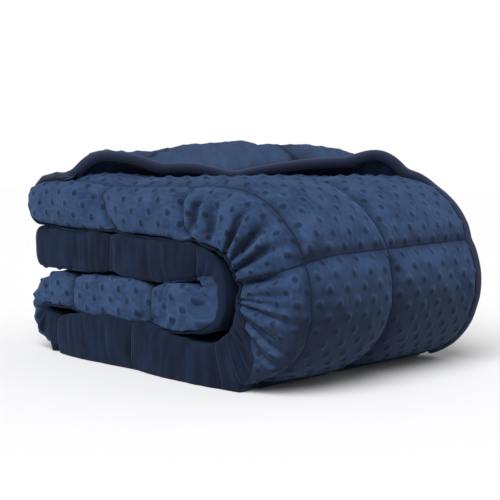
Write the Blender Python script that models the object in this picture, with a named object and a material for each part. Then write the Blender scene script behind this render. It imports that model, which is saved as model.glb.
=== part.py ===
"""A folded weighted blanket, in metres, +Z up, standing on z = 0.

The blanket is folded lengthwise into a strip, whose fold edge faces -X and whose bound edge faces +X.
The strip is then folded across: its top arm runs to -Y, turns down round the front bend, runs back
along the base, and goes forward and back once more inside. The top layer's far corner is turned
back over the top, so that a bound hem crosses the top from corner to corner.
"""

import bpy
import numpy as np
from mathutils import Vector
from mathutils.bvhtree import BVHTree

MIDDLE = (0.0, 0.0087)  # x and y, in the numbers below, of the middle; it lands on the origin

# The strip across
FOLD_X = -0.155  # its fold edge
BOUND_X = 0.155  # its bound edge
PLAIN_ROLL = 0.50  # how far the fold edge rounds in on the plain face, as a share of half the thickness
BOUND_ROLL = 0.60
COLUMN_SEAMS = (-0.121, -0.002, 0.117)  # x of the seams that run along the strip

# The strip's run seen from the fold edge, a row for each stretch or bend: y and z of its middle,
# half its thickness, how far its fold edge is set in from FOLD_X, and how far that edge rounds in
# on the dotted face, as a share of half the thickness
RUN = (
    # place, y, z, half, set_in, roll
    ("top end", 0.2370, 0.1800, 0.0300, 0.002, 1.30),
    ("top arm back", 0.1700, 0.1815, 0.0320, 0.000, 1.60),
    ("top arm middle", 0.0350, 0.1780, 0.0300, 0.000, 1.75),
    ("top arm front", -0.0700, 0.1785, 0.0325, 0.001, 1.75),
    ("shoulder", -0.1475, 0.1625, 0.0395, 0.004, 1.60),
    ("belly", -0.1810, 0.1050, 0.0470, 0.004, 1.25),
    ("heel", -0.1735, 0.0580, 0.0415, 0.002, 1.00),
    ("base front", -0.1380, 0.0265, 0.0265, -0.002, 0.90),
    ("base middle", 0.0000, 0.0240, 0.0245, -0.004, 0.90),
    ("base back", 0.1200, 0.0240, 0.0240, -0.003, 0.90),
    ("back bend start", 0.1760, 0.0245, 0.0215, 0.000, 0.90),
    ("back bend low", 0.1975, 0.0330, 0.0190, 0.003, 0.90),
    ("back bend", 0.2060, 0.0500, 0.0180, 0.006, 0.90),
    ("back bend top", 0.1975, 0.0668, 0.0190, 0.004, 0.90),
    ("back bend end", 0.1760, 0.0745, 0.0205, 0.002, 0.90),
    ("third arm back", 0.1200, 0.0745, 0.0218, 0.001, 0.90),
    ("third arm middle", 0.0100, 0.0745, 0.0218, 0.000, 0.90),
    ("inner bend start", -0.0670, 0.0745, 0.0210, 0.002, 0.90),
    ("inner bend low", -0.0880, 0.0820, 0.0190, 0.005, 0.90),
    ("inner bend", -0.0960, 0.0985, 0.0180, 0.007, 0.90),
    ("inner bend top", -0.0880, 0.1150, 0.0180, 0.005, 0.90),
    ("inner bend end", -0.0670, 0.1220, 0.0195, 0.003, 0.90),
    ("second arm front", -0.0300, 0.1225, 0.0215, 0.003, 0.90),
    ("second arm middle", 0.0300, 0.1220, 0.0230, 0.003, 0.90),
    ("second arm back", 0.1500, 0.1240, 0.0240, 0.004, 0.90),
    ("second end", 0.2240, 0.1225, 0.0240, 0.007, 0.90),
)
FRONT_BEND = ("top arm front", "base front")  # the stretch whose fold edge is gathered
BASE = ("base front", "back bend start")
SMALL_BENDS = (("back bend start", "back bend end"), ("inner bend start", "inner bend end"))

# Quilting
BOX_ALONG = 0.140  # a quilted box along the strip
FRONT_SEAM_Z = 0.131  # how high on the front bend the next row seam lies, at the strip's middle
ROW_SEAM_Y = (0.073, -0.085)  # where the top arm's two row seams lie
SEAM_DEPTH = 0.0080
SEAM_REACH = 0.015  # how far from a seam its drawn-in valley reaches
PUCKER_PITCH = 0.024  # of the gathers round the front bend's fold edge
PUCKER_DEPTH = 0.0022

# Mesh spacing along the run
STEP_PLAIN = 0.0235
STEP_GATHERED = 0.0080
STEP_SMALL_BEND = 0.0100
END_STEPS = (0.0, 0.08, 0.30, 0.62)  # of the rounding's length, at each end of the strip
END_SHARE = 0.34  # of the thickness that is left at the very end
CORNER_SET_IN = 0.020  # how far the strip narrows at each end
COLUMN_STEPS = 6
FLOOR_FLAT = 0.0012  # cloth lower than this lies flat on the ground
BASE_FLAT = 0.0090  # and so does the base's, where the stack's weight presses its quilting flat
FOLD_TURNS = (28, 58, 90, 122, 152)  # degrees from the dotted face of the points round the fold edge
BOUND_TURNS = (132, 90, 48)  # and of those round the bound edge
END_CLEAR = 1.2  # rings keep this share of the rounding's length off the ends
RUN_SAMPLES = 4000
NEARBY = 0.002  # the distance over which the run's direction is read

# The turned-back layer
HEM_LEFT = (-0.138, 0.168)  # x and y of the hem's two ends
HEM_RIGHT = (0.138, -0.142)
FAR_CORNER = (0.137, 0.216)
FAR_CORNER_ROUND = 0.10  # how much of the far fold's length its corner takes up
HEM_BOW = 0.003  # how far the hem's middle sways towards the near corner
HEM_THICK = 0.0095  # the layer's thickness along its hem
LAYER_CROWN = 0.0390  # how far its middle stands over the strip's top
PUFF_POWER = 0.6  # how steeply it rises from the hem
SINK_FROM = 0.80  # the share of its width where its top starts to fall to the far fold
ARCHES = (  # where the hem arches up, as a share of its length, and how far
    # along, lift
    (0.15, 0.0250),
    (0.84, 0.0170),
)
ARCH_REACH = 0.12  # how far each arch spreads, as a share of the hem
LOOSE_LIFT = 0.0060  # the hem lies loose where it is lifted more than this
LOOSE_SHARE = 0.20  # of the layer's width, from the hem, that lies loose there
LAYER_SINK = 0.0140  # how deep the rest of it is joined to the strip
RIM_DIP = 0.0090  # how far below the strip's top its far fold ends
RIM_LEAST = 0.0040  # the least thickness of the layer's rim
HEM_STEPS = 26
LAYER_STEPS = 13
HEM_TIP = 0.030  # the share of the hem that is left off at each end
TAPER_SHARE = 0.10  # the share of the hem over which it thins towards each end
TAPER_LEAST = 0.16

# The binding: from the heel up the bound edge, over the top along the hem, and down the top arm's end
BINDING_SLIM = 0.0036  # its radius up the bound edge
BINDING_FULL = 0.0050  # and along the hem
BINDING_SIDES = 8
BINDING_STEP = 0.0076
BINDING_GAP = 0.0009  # between it and the blanket
BINDING_START_Z = 0.030  # how high above the ground it starts
SEATING_ROUNDS = 16  # how often it is drawn smooth and pushed off the blanket
EDGE_TURN = 52  # degrees from the dotted face, where it lies on the bound edge
HEM_SPAN = (0.93, 0.06)  # the stretch of the hem that it follows, as shares from the left end
TAIL_X = -0.126  # x of its run down the top arm's end
TAIL_TURNS = (20, 42, 64, 86, 108, 130)  # degrees round that end, from the top
TAIL_SET_IN = 0.7  # how far in the middle of that turn lies, as a share of half the thickness
TOUCHING = 1e-6

COLOUR_BLANKET = (0.022, 0.043, 0.098)
COLOUR_BINDING = (0.010, 0.019, 0.042)


def clear_scene():
    for thing in list(bpy.data.objects):
        bpy.data.objects.remove(thing, do_unlink=True)


def material(name, colour, roughness):
    made = bpy.data.materials.new(name)
    made.use_nodes = True
    shader = made.node_tree.nodes["Principled BSDF"]
    shader.inputs["Base Color"].default_value = (*colour, 1.0)
    shader.inputs["Roughness"].default_value = roughness
    shader.inputs["Metallic"].default_value = 0.0
    return made


def mesh_object(name, points, faces, finish):
    mesh = bpy.data.meshes.new(name)
    mesh.from_pydata([tuple(map(float, point)) for point in points], [], faces)
    mesh.materials.append(finish)
    mesh.validate()
    mesh.shade_smooth()
    made = bpy.data.objects.new(name, mesh)
    made.location = (-MIDDLE[0], -MIDDLE[1], 0.0)
    bpy.context.scene.collection.objects.link(made)
    return made


def natural_cubic(knots, values, at):
    """A smooth curve through the values at the knots, read at each place asked for."""
    gaps = np.diff(knots)
    slopes = np.diff(values) / gaps
    size = len(knots)
    left = np.eye(size)
    right = np.zeros(size)
    for i in range(1, size - 1):
        left[i, i - 1 : i + 2] = gaps[i - 1], 2 * (gaps[i - 1] + gaps[i]), gaps[i]
        right[i] = 6 * (slopes[i] - slopes[i - 1])
    bend = np.linalg.solve(left, right)
    span = np.clip(np.searchsorted(knots, at) - 1, 0, size - 2)
    gap = gaps[span]
    before, after = at - knots[span], knots[span + 1] - at
    return (
        bend[span] * after**3 / (6 * gap)
        + bend[span + 1] * before**3 / (6 * gap)
        + (values[span] / gap - bend[span] * gap / 6) * after
        + (values[span + 1] / gap - bend[span + 1] * gap / 6) * before
    )


class Run:
    """The strip's middle line, read by the distance along it."""

    def __init__(self):
        table = np.array([row[1:] for row in RUN])
        chords = np.hypot(*np.diff(table[:, :2], axis=0).T)
        knots = np.concatenate([[0.0], np.cumsum(chords)])
        fine = np.linspace(0.0, knots[-1], RUN_SAMPLES)
        self.y, self.z, self.half, self.set_in, self.roll = (
            natural_cubic(knots, column, fine) for column in table.T
        )
        steps = np.hypot(np.diff(self.y), np.diff(self.z))
        self.along = np.concatenate([[0.0], np.cumsum(steps)])
        self.length = self.along[-1]
        at_rows = np.interp(knots, fine, self.along)
        self.place = {row[0]: at for row, at in zip(RUN, at_rows)}

    def read(self, column, s):
        return np.interp(s, self.along, column)

    def outward(self, s):
        """The unit direction from the middle line to the dotted face, in y and z."""
        dy = self.read(self.y, s + NEARBY) - self.read(self.y, s - NEARBY)
        dz = self.read(self.z, s + NEARBY) - self.read(self.z, s - NEARBY)
        size = np.hypot(dy, dz)
        return dz / size, -dy / size

    def row_seams(self):
        """Where the seams across the strip lie, from the top arm's end to the inner end."""
        top = self.along < self.place["belly"]
        first = [float(self.along[top][np.argmin(abs(self.y[top] - y))]) for y in ROW_SEAM_Y]
        front = float(self.along[top][np.argmin(abs(self.z[top] - FRONT_SEAM_Z))])
        return np.array([*first, *np.arange(front, self.length - BOX_ALONG / 2, BOX_ALONG)])

    def stretch(self, names):
        return self.place[names[0]], self.place[names[1]]

    def step_at(self, s):
        low, high = self.stretch(FRONT_BEND)
        if low < s < high:
            return STEP_GATHERED
        if any(low < s < high for low, high in map(self.stretch, SMALL_BENDS)):
            return STEP_SMALL_BEND
        return STEP_PLAIN

    def stations(self):
        """Where the mesh has a ring: on each seam, evenly between them, and closer at bends and ends."""
        stops = [0.0, *self.row_seams(), *self.stretch(FRONT_BEND), self.length]
        stops += [end for names in SMALL_BENDS for end in self.stretch(names)]
        stops = sorted(stops)
        found = []
        for low, high in zip(stops, stops[1:]):
            count = max(1, round((high - low) / self.step_at((low + high) / 2)))
            found.extend(np.linspace(low, high, count, endpoint=False))
        rounding = float(self.half[0])
        clear = END_CLEAR * rounding
        found = [s for s in found if clear < s < self.length - clear]
        starts = [share * rounding for share in END_STEPS] + [rounding]
        return np.array([*starts, *found, *(self.length - s for s in reversed(starts))])


def seam_valley(distance):
    """1 on a seam and 0 well away from it, with a crease at the seam."""
    return np.exp(-np.abs(distance) / SEAM_REACH)


class Strip:
    """The strip's surface: rings round it, at stations along the run."""

    def __init__(self, run):
        self.run = run
        self.seams = run.row_seams()

    def columns(self, low, high):
        """x of the ring's points on the flat of a face, from the fold edge to the bound edge."""
        first = np.linspace(low, COLUMN_SEAMS[1], COLUMN_STEPS, endpoint=False)
        middle = np.linspace(COLUMN_SEAMS[1], COLUMN_SEAMS[2], COLUMN_STEPS, endpoint=False)
        return np.array([*first, *middle, COLUMN_SEAMS[2], high])

    def end_round(self, s):
        """How much of the thickness is left at s, which falls off at the strip's two ends."""
        rounding = float(self.run.half[0])
        depth = 1 - min(s, self.run.length - s, rounding) / rounding
        return END_SHARE + (1 - END_SHARE) * np.sqrt(max(0.0, 1 - depth**2))

    def quilt(self, s, x):
        """How far the seams draw the face in."""
        rows = seam_valley(np.min(np.abs(self.seams - s)))
        lines = max(seam_valley(x - line) for line in COLUMN_SEAMS)
        return SEAM_DEPTH * max(rows, lines)

    def gathers(self, s, turn):
        """The gathers round the front bend's fold edge, at a turn from the dotted face in degrees."""
        low, high = self.run.stretch(FRONT_BEND)
        here = np.clip((s - low) / (high - low), 0.0, 1.0)
        strength = np.sin(np.pi * here) * np.sin(np.radians(turn))
        return PUCKER_DEPTH * strength * np.sin(2 * np.pi * s / PUCKER_PITCH)

    def ring(self, s):
        """The points round the strip at s, from the bound edge over the dotted face and back under."""
        left = self.end_round(s)
        half = float(self.run.read(self.run.half, s)) * left
        narrow = CORNER_SET_IN * (1 - left)
        fold_x = FOLD_X + float(self.run.read(self.run.set_in, s)) + narrow
        bound_x = BOUND_X - narrow
        dotted_roll = half * float(self.run.read(self.run.roll, s))
        plain_roll, bound_roll = half * PLAIN_ROLL, half * BOUND_ROLL
        high = bound_x - bound_roll
        dotted = self.face(s, fold_x + dotted_roll, high, half, left)
        plain = self.face(s, fold_x + plain_roll, high, half, left)
        fold = []
        for turn in FOLD_TURNS:
            roll = dotted_roll if turn < 90 else plain_roll
            angle = np.radians(turn)
            x = fold_x + roll * (1 - np.sin(angle))
            reach = half + self.gathers(s, turn) - self.quilt(s, x) * left * abs(np.cos(angle))
            bulge = roll * np.sin(angle) * (1 - reach / half)
            fold.append((x + bulge, reach * np.cos(angle)))
        bound = []
        for turn in BOUND_TURNS:
            angle = np.radians(turn)
            bound.append((high + bound_roll * np.sin(angle), half * np.cos(angle)))
        return [*reversed(dotted), *fold, *((x, -h) for x, h in plain), *bound]

    def face(self, s, low, high, half, left):
        """x and height of a face's points, where left is the share of its thickness that is left."""
        return [(x, half - self.quilt(s, x) * left) for x in self.columns(low, high)]

    def place(self, s, x, height):
        """The point at x, and this far out from the middle line towards the dotted face."""
        out_y, out_z = self.run.outward(s)
        y = self.run.read(self.run.y, s) + out_y * height
        z = self.run.read(self.run.z, s) + out_z * height
        return float(x), float(y), self.pressed(s, float(z))

    def pressed(self, s, z):
        """The height z, or the ground's for the cloth that the base presses flat on it."""
        low, high = self.run.stretch(BASE)
        return 0.0 if z < (BASE_FLAT if low < s < high else FLOOR_FLAT) else z

    def mesh(self):
        stations = self.run.stations()
        rings = [[self.place(s, x, height) for x, height in self.ring(s)] for s in stations]
        around = len(rings[0])
        points = [point for ring in rings for point in ring]
        faces = []
        for i in range(len(rings) - 1):
            for j in range(around):
                k = (j + 1) % around
                a, b = i * around + j, i * around + k
                faces.append((a, b, b + around, a + around))
        flat = len(self.columns(FOLD_X, BOUND_X))
        for base, turn in ((0, -1), ((len(rings) - 1) * around, 1)):
            faces.extend(self.cap(base, turn, flat, around))
        return points, faces

    def cap(self, base, turn, flat, around):
        """The faces that close the strip's end, between the ring's two sides."""
        upper = list(range(flat - 1, -1, -1))
        turns = len(FOLD_TURNS)
        fold = list(range(flat, flat + turns))
        lower = list(range(flat + turns, 2 * flat + turns))
        bound = list(range(2 * flat + turns, around))
        strips = [
            (upper[i], upper[i + 1], lower[i + 1], lower[i]) for i in range(flat - 1)
        ]
        strips.append((lower[0], *reversed(fold), upper[0]))
        strips.append((upper[-1], *reversed(bound), lower[-1]))
        return [tuple(base + i for i in (strip if turn < 0 else strip[::-1])) for strip in strips]


def surface_of(thing):
    """A tree for finding the nearest place on the object's surface."""
    graph = bpy.context.evaluated_depsgraph_get()
    return BVHTree.FromObject(thing, graph)


class TurnedLayer:
    """The top layer's far corner, turned back over the strip's top."""

    def __init__(self, below):
        self.below = below

    def top_of_strip(self, x, y):
        """The height of the strip's top there, or past its edge the height just inside."""
        for inside in np.linspace(1.0, 0.7, 16):
            start = Vector((x * inside, y * inside, 1.0))
            hit = self.below.ray_cast(start, Vector((0, 0, -1)))[0]
            if hit is not None:
                return hit.z
        return 0.0

    def hem(self, a):
        """x and y of the hem, from its left end to its right end."""
        left, right = np.array(HEM_LEFT), np.array(HEM_RIGHT)
        along = (right - left) / np.hypot(*(right - left))
        near = np.array([along[1], -along[0]])
        return left + (right - left) * a + near * HEM_BOW * np.sin(np.pi * a)

    def far(self, a):
        """x and y of the far fold, which turns the far corner on its way from end to end."""
        left, right, corner = (np.array(p) for p in (HEM_LEFT, HEM_RIGHT, FAR_CORNER))
        first, second = np.hypot(*(corner - left)), np.hypot(*(right - corner))
        turn = first / (first + second)
        near = (a - turn) / FAR_CORNER_ROUND
        past = FAR_CORNER_ROUND * (near + 1) ** 2 / 4 if abs(near) < 1 else max(0.0, a - turn)
        return left + (corner - left) * (a - past) / turn + (right - corner) * past / (1 - turn)

    def taper(self, a):
        """1 along most of the hem, falling off at its two ends."""
        return np.sqrt(np.clip(min(a, 1 - a) / TAPER_SHARE, TAPER_LEAST, 1.0))

    def lift(self, a):
        """How far the hem stands over the strip's top."""
        return sum(lift * np.exp(-(((a - along) / ARCH_REACH) ** 2)) for along, lift in ARCHES)

    def heights(self, a, b, ground):
        """The layer's top and underside, at b from the hem (0) to the far fold (1)."""
        lift = self.lift(a)
        puff = np.sin(np.pi * min(b, 0.5)) ** PUFF_POWER
        edge = lift + HEM_THICK * self.taper(a)
        rise = edge + (LAYER_CROWN * self.taper(a) - edge) * puff
        sink = np.clip((b - SINK_FROM) / (1 - SINK_FROM), 0.0, 1.0) ** 2
        high = ground + rise - sink * (rise + RIM_DIP)
        loose = lift > LOOSE_LIFT and b < LOOSE_SHARE
        low = ground + (lift if loose else -LAYER_SINK)
        return high, min(low, high - RIM_LEAST)

    def mesh(self):
        """The layer's upper and lower sheets, closed round their rim."""
        upper, lower = [], []
        for a in np.linspace(HEM_TIP, 1 - HEM_TIP, HEM_STEPS):
            hem, far = self.hem(a), self.far(a)
            for b in np.sin(np.linspace(0.0, np.pi / 2, LAYER_STEPS)):
                x, y = hem + (far - hem) * b
                high, low = self.heights(a, b, self.top_of_strip(x, y))
                upper.append((x, y, high))
                lower.append((x, y, low))
        return self.closed(upper, lower)

    def closed(self, upper, lower):
        count = len(upper)
        faces = []
        for i in range(HEM_STEPS - 1):
            for j in range(LAYER_STEPS - 1):
                a = i * LAYER_STEPS + j
                quad = (a, a + 1, a + LAYER_STEPS + 1, a + LAYER_STEPS)
                faces.append(quad[::-1])
                faces.append(tuple(count + k for k in quad))
        last = (HEM_STEPS - 1) * LAYER_STEPS
        rim = [i * LAYER_STEPS for i in range(HEM_STEPS)]
        rim += [last + j for j in range(1, LAYER_STEPS)]
        rim += [i * LAYER_STEPS + LAYER_STEPS - 1 for i in range(HEM_STEPS - 2, -1, -1)]
        rim += range(LAYER_STEPS - 2, 0, -1)
        for a, b in zip(rim, rim[1:] + rim[:1]):
            faces.append((b, a, a + count, b + count))
        return upper + lower, faces


def join(first, second):
    """The second solid fused into the first."""
    union = first.modifiers.new("join", "BOOLEAN")
    union.operation = "UNION"
    union.solver = "EXACT"
    union.object = second
    second.hide_render = True
    second.display_type = "WIRE"


class Binding:
    """The bound edge's cord of cloth, seated on the blanket."""

    def __init__(self, strip, layer, surface):
        self.strip = strip
        self.layer = layer
        self.surface = surface

    def up_the_edge(self):
        """Points on the bound edge, from the heel over the front bend to the hem."""
        run = self.strip.run
        starts = run.along[(run.along < run.place["base front"]) & (run.z > BINDING_START_Z)][-1]
        points = []
        for s in np.arange(starts, run.place["shoulder"], -BINDING_STEP):
            half = float(run.read(run.half, s))
            turn = np.radians(EDGE_TURN)
            x = BOUND_X - half * BOUND_ROLL * (1 - np.sin(turn))
            points.append((*self.strip.place(s, x, half * np.cos(turn)), BINDING_SLIM))
        return points

    def along_the_hem(self):
        """Points on the hem, from its right end to its left end."""
        points = []
        for a in np.linspace(*HEM_SPAN, HEM_STEPS):
            x, y = self.layer.hem(a)
            thick = HEM_THICK * self.layer.taper(a)
            z = self.layer.top_of_strip(x, y) + self.layer.lift(a) + thick / 2
            points.append((x, y, z, BINDING_FULL))
        return points

    def down_the_end(self):
        """Points round the top arm's end, below the hem's left end."""
        run = self.strip.run
        points = []
        half = float(run.half[0])
        for turn in TAIL_TURNS:
            angle = np.radians(turn)
            y = float(run.y[0]) + half * (np.sin(angle) - TAIL_SET_IN)
            z = float(run.z[0]) + half * np.cos(angle)
            points.append((TAIL_X, y, z, BINDING_SLIM))
        return points

    def path(self):
        """The binding's middle and radius, drawn smooth, evenly spaced and seated on the blanket."""
        path = np.array(self.up_the_edge() + self.along_the_hem() + self.down_the_end())
        for _ in range(SEATING_ROUNDS):
            path[1:-1] = (path[:-2] + 2 * path[1:-1] + path[2:]) / 4
            path = self.spaced(path)
            for point in path:
                point[:3] = self.seated(Vector(point[:3]), point[3] + BINDING_GAP)
            self.clear_corners(path)
        return path

    def clear_corners(self, path):
        """Push out each pair of points whose straight run passes too near the blanket."""
        for first, second in zip(path, path[1:]):
            middle = Vector((first[:3] + second[:3]) / 2)
            clear = max(first[3], second[3]) + BINDING_GAP
            push = self.seated(middle, clear) - middle
            if self.surface.find_nearest(middle)[3] < clear:
                first[:3] += push
                second[:3] += push

    def spaced(self, path):
        """The path with its points a step apart."""
        steps = np.linalg.norm(np.diff(path[:, :3], axis=0), axis=1)
        along = np.concatenate([[0.0], np.cumsum(steps)])
        even = np.linspace(0.0, along[-1], round(along[-1] / BINDING_STEP))
        return np.array([np.interp(even, along, column) for column in path.T]).T

    def seated(self, point, clear):
        """The point moved so that it lies this far outside the blanket."""
        near, normal, _, distance = self.surface.find_nearest(point)
        away = point - near
        inside = away.dot(normal) < 0
        if distance < TOUCHING or inside:
            return near + normal * clear
        return near + away * (clear / distance)

    def mesh(self):
        path = self.path()
        middles = path[:, :3]
        along = np.gradient(middles, axis=0)
        along /= np.linalg.norm(along, axis=1)[:, None]
        side = np.cross(along, (0.0, 0.0, 1.0))
        points, faces = [], []
        across = side[0]
        for middle, ahead, radius in zip(middles, along, path[:, 3]):
            across = across - ahead * across.dot(ahead)
            across /= np.linalg.norm(across)
            up = np.cross(across, ahead)
            for k in range(BINDING_SIDES):
                turn = 2 * np.pi * k / BINDING_SIDES
                points.append(middle + radius * (across * np.cos(turn) + up * np.sin(turn)))
        for i in range(len(middles) - 1):
            for k in range(BINDING_SIDES):
                a = i * BINDING_SIDES + k
                b = i * BINDING_SIDES + (k + 1) % BINDING_SIDES
                faces.append((a, a + BINDING_SIDES, b + BINDING_SIDES, b))
        faces.append(tuple(range(BINDING_SIDES)))
        last = (len(middles) - 1) * BINDING_SIDES
        faces.append(tuple(last + k for k in reversed(range(BINDING_SIDES))))
        return points, faces


def main():
    clear_scene()
    plush = material("dotted_plush", COLOUR_BLANKET, 0.75)
    satin = material("binding_cloth", COLOUR_BINDING, 0.65)
    strip = Strip(Run())
    blanket = mesh_object("quilted_blanket", *strip.mesh(), plush)
    layer = TurnedLayer(surface_of(blanket))
    turned = mesh_object("turned_layer", *layer.mesh(), plush)
    join(blanket, turned)
    binding = Binding(strip, layer, surface_of(blanket))
    mesh_object("edge_binding", *binding.mesh(), satin)


main()
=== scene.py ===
"""The looks of a folded weighted blanket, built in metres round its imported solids, +Z up.

The blanket is quilted plush: one face has raised dots, the other is plain. It is folded in four
into a strip, whose fold edge faces -X, and the strip is folded in four again, back and forth. Each
stretch of the strip is a dotted half and a plain half, with seams, puckers and dots in the mesh.
"""

import logging
import math
from dataclasses import dataclass, field
from enum import Enum
from typing import Callable

import bmesh
import bpy
import numpy as np
from mathutils import Matrix, Vector
from mathutils.bvhtree import BVHTree


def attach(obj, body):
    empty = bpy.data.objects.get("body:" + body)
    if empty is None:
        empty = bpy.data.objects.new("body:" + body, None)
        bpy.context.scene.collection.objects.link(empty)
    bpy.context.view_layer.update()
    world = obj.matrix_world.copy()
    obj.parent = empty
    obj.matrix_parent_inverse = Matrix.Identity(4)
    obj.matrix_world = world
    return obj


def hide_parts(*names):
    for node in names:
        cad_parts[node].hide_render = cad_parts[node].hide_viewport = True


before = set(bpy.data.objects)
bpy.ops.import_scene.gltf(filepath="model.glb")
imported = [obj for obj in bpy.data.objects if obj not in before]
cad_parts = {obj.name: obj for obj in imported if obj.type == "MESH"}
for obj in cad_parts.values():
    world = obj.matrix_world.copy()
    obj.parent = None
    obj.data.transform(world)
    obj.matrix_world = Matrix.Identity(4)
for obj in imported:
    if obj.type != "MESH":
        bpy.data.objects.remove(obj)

log = logging.getLogger("folded_blanket")

BODY = "root"
MIDDLE = (0.0, 0.0087)  # x and y, in the run's own numbers, of the point that lies on the origin
COLUMN_SEAMS = (-0.133, -0.008)  # x of the seams that run along the strip
COLUMN_WIDTH = 0.125
ROW_WIDTH = 0.140
SEAM_BEYOND = 1.5  # widths past the last seam, where the next one would lie
FULL_TURN = 180.0  # degrees round the fold edge, from the dotted face to the plain one

RUN = (
    # place, y, z, half, set_in, roll
    ("top end", 0.2370, 0.1800, 0.0300, 0.002, 1.30),
    ("top arm back", 0.1700, 0.1815, 0.0320, 0.000, 1.60),
    ("top arm middle", 0.0350, 0.1780, 0.0300, 0.000, 1.75),
    ("top arm front", -0.0700, 0.1785, 0.0325, 0.001, 1.75),
    ("shoulder", -0.1475, 0.1625, 0.0395, 0.004, 1.60),
    ("belly", -0.1810, 0.1050, 0.0470, 0.004, 1.25),
    ("heel", -0.1735, 0.0580, 0.0415, 0.002, 1.00),
    ("base front", -0.1380, 0.0265, 0.0265, -0.002, 0.90),
    ("base middle", 0.0000, 0.0240, 0.0245, -0.004, 0.90),
    ("base back", 0.1200, 0.0240, 0.0240, -0.003, 0.90),
    ("back bend start", 0.1760, 0.0245, 0.0215, 0.000, 0.90),
    ("back bend low", 0.1975, 0.0330, 0.0190, 0.003, 0.90),
    ("back bend", 0.2060, 0.0500, 0.0180, 0.006, 0.90),
    ("back bend top", 0.1975, 0.0668, 0.0190, 0.004, 0.90),
    ("back bend end", 0.1760, 0.0745, 0.0205, 0.002, 0.90),
    ("third arm back", 0.1200, 0.0745, 0.0218, 0.001, 0.90),
    ("third arm middle", 0.0100, 0.0745, 0.0218, 0.000, 0.90),
    ("inner bend start", -0.0670, 0.0745, 0.0210, 0.002, 0.90),
    ("inner bend low", -0.0880, 0.0820, 0.0190, 0.005, 0.90),
    ("inner bend", -0.0960, 0.0985, 0.0180, 0.007, 0.90),
    ("inner bend top", -0.0880, 0.1150, 0.0180, 0.005, 0.90),
    ("inner bend end", -0.0670, 0.1220, 0.0195, 0.003, 0.90),
    ("second arm front", -0.0300, 0.1225, 0.0215, 0.003, 0.90),
    ("second arm middle", 0.0300, 0.1220, 0.0230, 0.003, 0.90),
    ("second arm back", 0.1500, 0.1240, 0.0240, 0.004, 0.90),
    ("second end", 0.2240, 0.1225, 0.0240, 0.007, 0.90),
)

# How far round the fold edge the dotted plush reaches, in degrees from the dotted face
DOTTED_REACH = (
    # place, degrees
    ("top end", 150.0),
    ("belly", 150.0),
    ("heel", 120.0),
    ("base front", 48.0),
    ("base middle", 38.0),
    ("base back", 38.0),
    ("back bend start", 50.0),
    ("back bend", 95.0),
    ("back bend end", 138.0),
    ("third arm back", 146.0),
    ("inner bend start", 146.0),
    ("inner bend low", 125.0),
    ("inner bend", 105.0),
    ("inner bend end", 55.0),
    ("second arm front", 42.0),
    ("second end", 42.0),
)

# How square the fold edge is on each face: 1 is an ellipse, and less is squarer. And how much
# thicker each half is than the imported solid, where the layers settle against each other
FULLNESS = (
    # place, dotted side, plain side, dotted swell, plain swell
    ("top end", 0.86, 0.50, 0.0, 0.0022),
    ("top arm front", 0.86, 0.50, 0.0, 0.0050),
    ("shoulder", 0.86, 0.50, 0.0, 0.0130),
    ("belly", 0.80, 0.60, 0.0, 0.0100),
    ("heel", 0.70, 0.60, 0.0, 0.0110),
    ("base front", 0.60, 0.46, 0.0, 0.0070),
    ("base back", 0.60, 0.46, 0.0, 0.0026),
    ("back bend", 0.60, 0.60, 0.0, 0.0008),
    ("third arm back", 0.46, 0.46, 0.0020, 0.0026),
    ("inner bend start", 0.46, 0.46, 0.0050, 0.0040),
    ("inner bend low", 0.46, 0.50, 0.0, 0.0110),
    ("inner bend", 0.60, 0.56, 0.0, 0.0010),
    ("inner bend end", 0.46, 0.46, 0.0050, 0.0022),
    ("second end", 0.46, 0.46, 0.0020, 0.0022),
)

# Creases that cross the fold edge where the strip bends
GATHERS = (
    # first place, last place, count, depth, width, middle turn, reach, slant
    ("top arm front", "belly", 6, 0.0170, 0.0056, 100.0, 44.0, -0.014),
    ("belly", "base front", 8, 0.0090, 0.0042, 100.0, 42.0, 0.006),
    ("back bend start", "back bend end", 8, 0.0050, 0.0030, 80.0, 46.0, 0.004),
    ("third arm middle", "inner bend start", 6, 0.0050, 0.0036, 100.0, 44.0, -0.010),
    ("inner bend start", "inner bend end", 7, 0.0050, 0.0030, 85.0, 46.0, 0.002),
    ("base front", "back bend start", 15, 0.0018, 0.0040, 105.0, 44.0, 0.004),
    ("second arm front", "second arm back", 9, 0.0018, 0.0036, 85.0, 44.0, 0.006),
)

# How the top arm's row seams lean from the bound edge to the fold edge, and bow round that edge
SEAM_BOWS = (
    # seam, lean, turns round the fold edge, shifts along the run there
    (0, 0.0, (0.0, 35.0, 75.0, 120.0, 180.0), (-0.004, -0.009, -0.010, 0.012, 0.014)),
    (1, -0.005, (0.0, 30.0, 60.0, 100.0, 140.0, 180.0), (0.0, -0.023, -0.033, -0.033, -0.015, -0.011)),
    (2, 0.0035, (0.0, 40.0, 90.0, 180.0), (0.0, 0.003, 0.005, 0.005)),
)

# How unlike the creases of one gather are: the spread of each value, or its least and most share
PLACE_SPREAD = 0.28  # of the pitch
TURN_SPREAD = 12  # degrees
DEPTH_SHARES = (0.55, 1.1)
WIDTH_SHARES = (0.75, 1.3)
REACH_SHARES = (0.7, 1.1)
SLANT_SHARES = (0.5, 1.4)


class PlushFace(Enum):
    """The blanket's two faces."""

    DOTTED = "dotted"
    PLAIN = "plain"


def srgb(red: int, green: int, blue: int) -> tuple[float, float, float, float]:
    """Turn a colour as seen on a screen into the linear one that shaders take.

    Args:
        red: 0 to 255.
        green: 0 to 255.
        blue: 0 to 255.

    Returns:
        The linear colour, with an alpha of 1.
    """
    shares = [value / 255 for value in (red, green, blue)]
    linear = [s / 12.92 if s <= 0.04045 else ((s + 0.055) / 1.055) ** 2.4 for s in shares]
    return (*linear, 1.0)


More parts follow.
